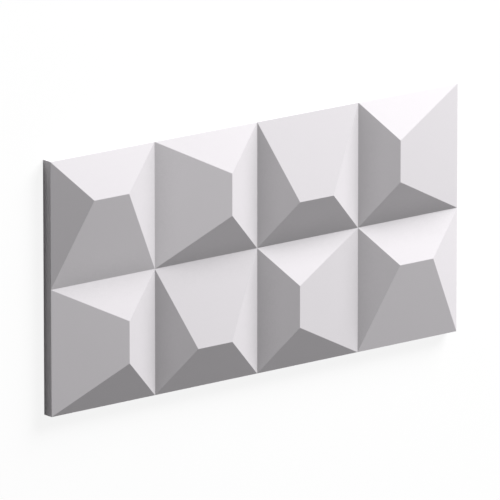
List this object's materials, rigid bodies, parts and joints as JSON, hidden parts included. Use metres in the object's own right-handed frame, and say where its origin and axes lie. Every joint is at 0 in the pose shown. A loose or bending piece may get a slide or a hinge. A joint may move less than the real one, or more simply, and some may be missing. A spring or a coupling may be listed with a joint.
{
  "type": "3d wall panel tile",
  "caption": "White cast gypsum wall tile with a faceted relief of off-centre hip roofs, turned cell by cell, and a flat back that is bonded to a wall.",
  "frame": {"origin": "middle of the flat back, which lies on the floor", "axes": "+X along the tile's length, +Y up its height as it hangs on a wall, +Z out of its relief face"},
  "size_m": [0.6, 0.3, 0.031],
  "materials": {
    "gypsum": "matte"
  },
  "bodies": {
    "root": {"panel_tile": "gypsum"}
  },
  "joints": []
}
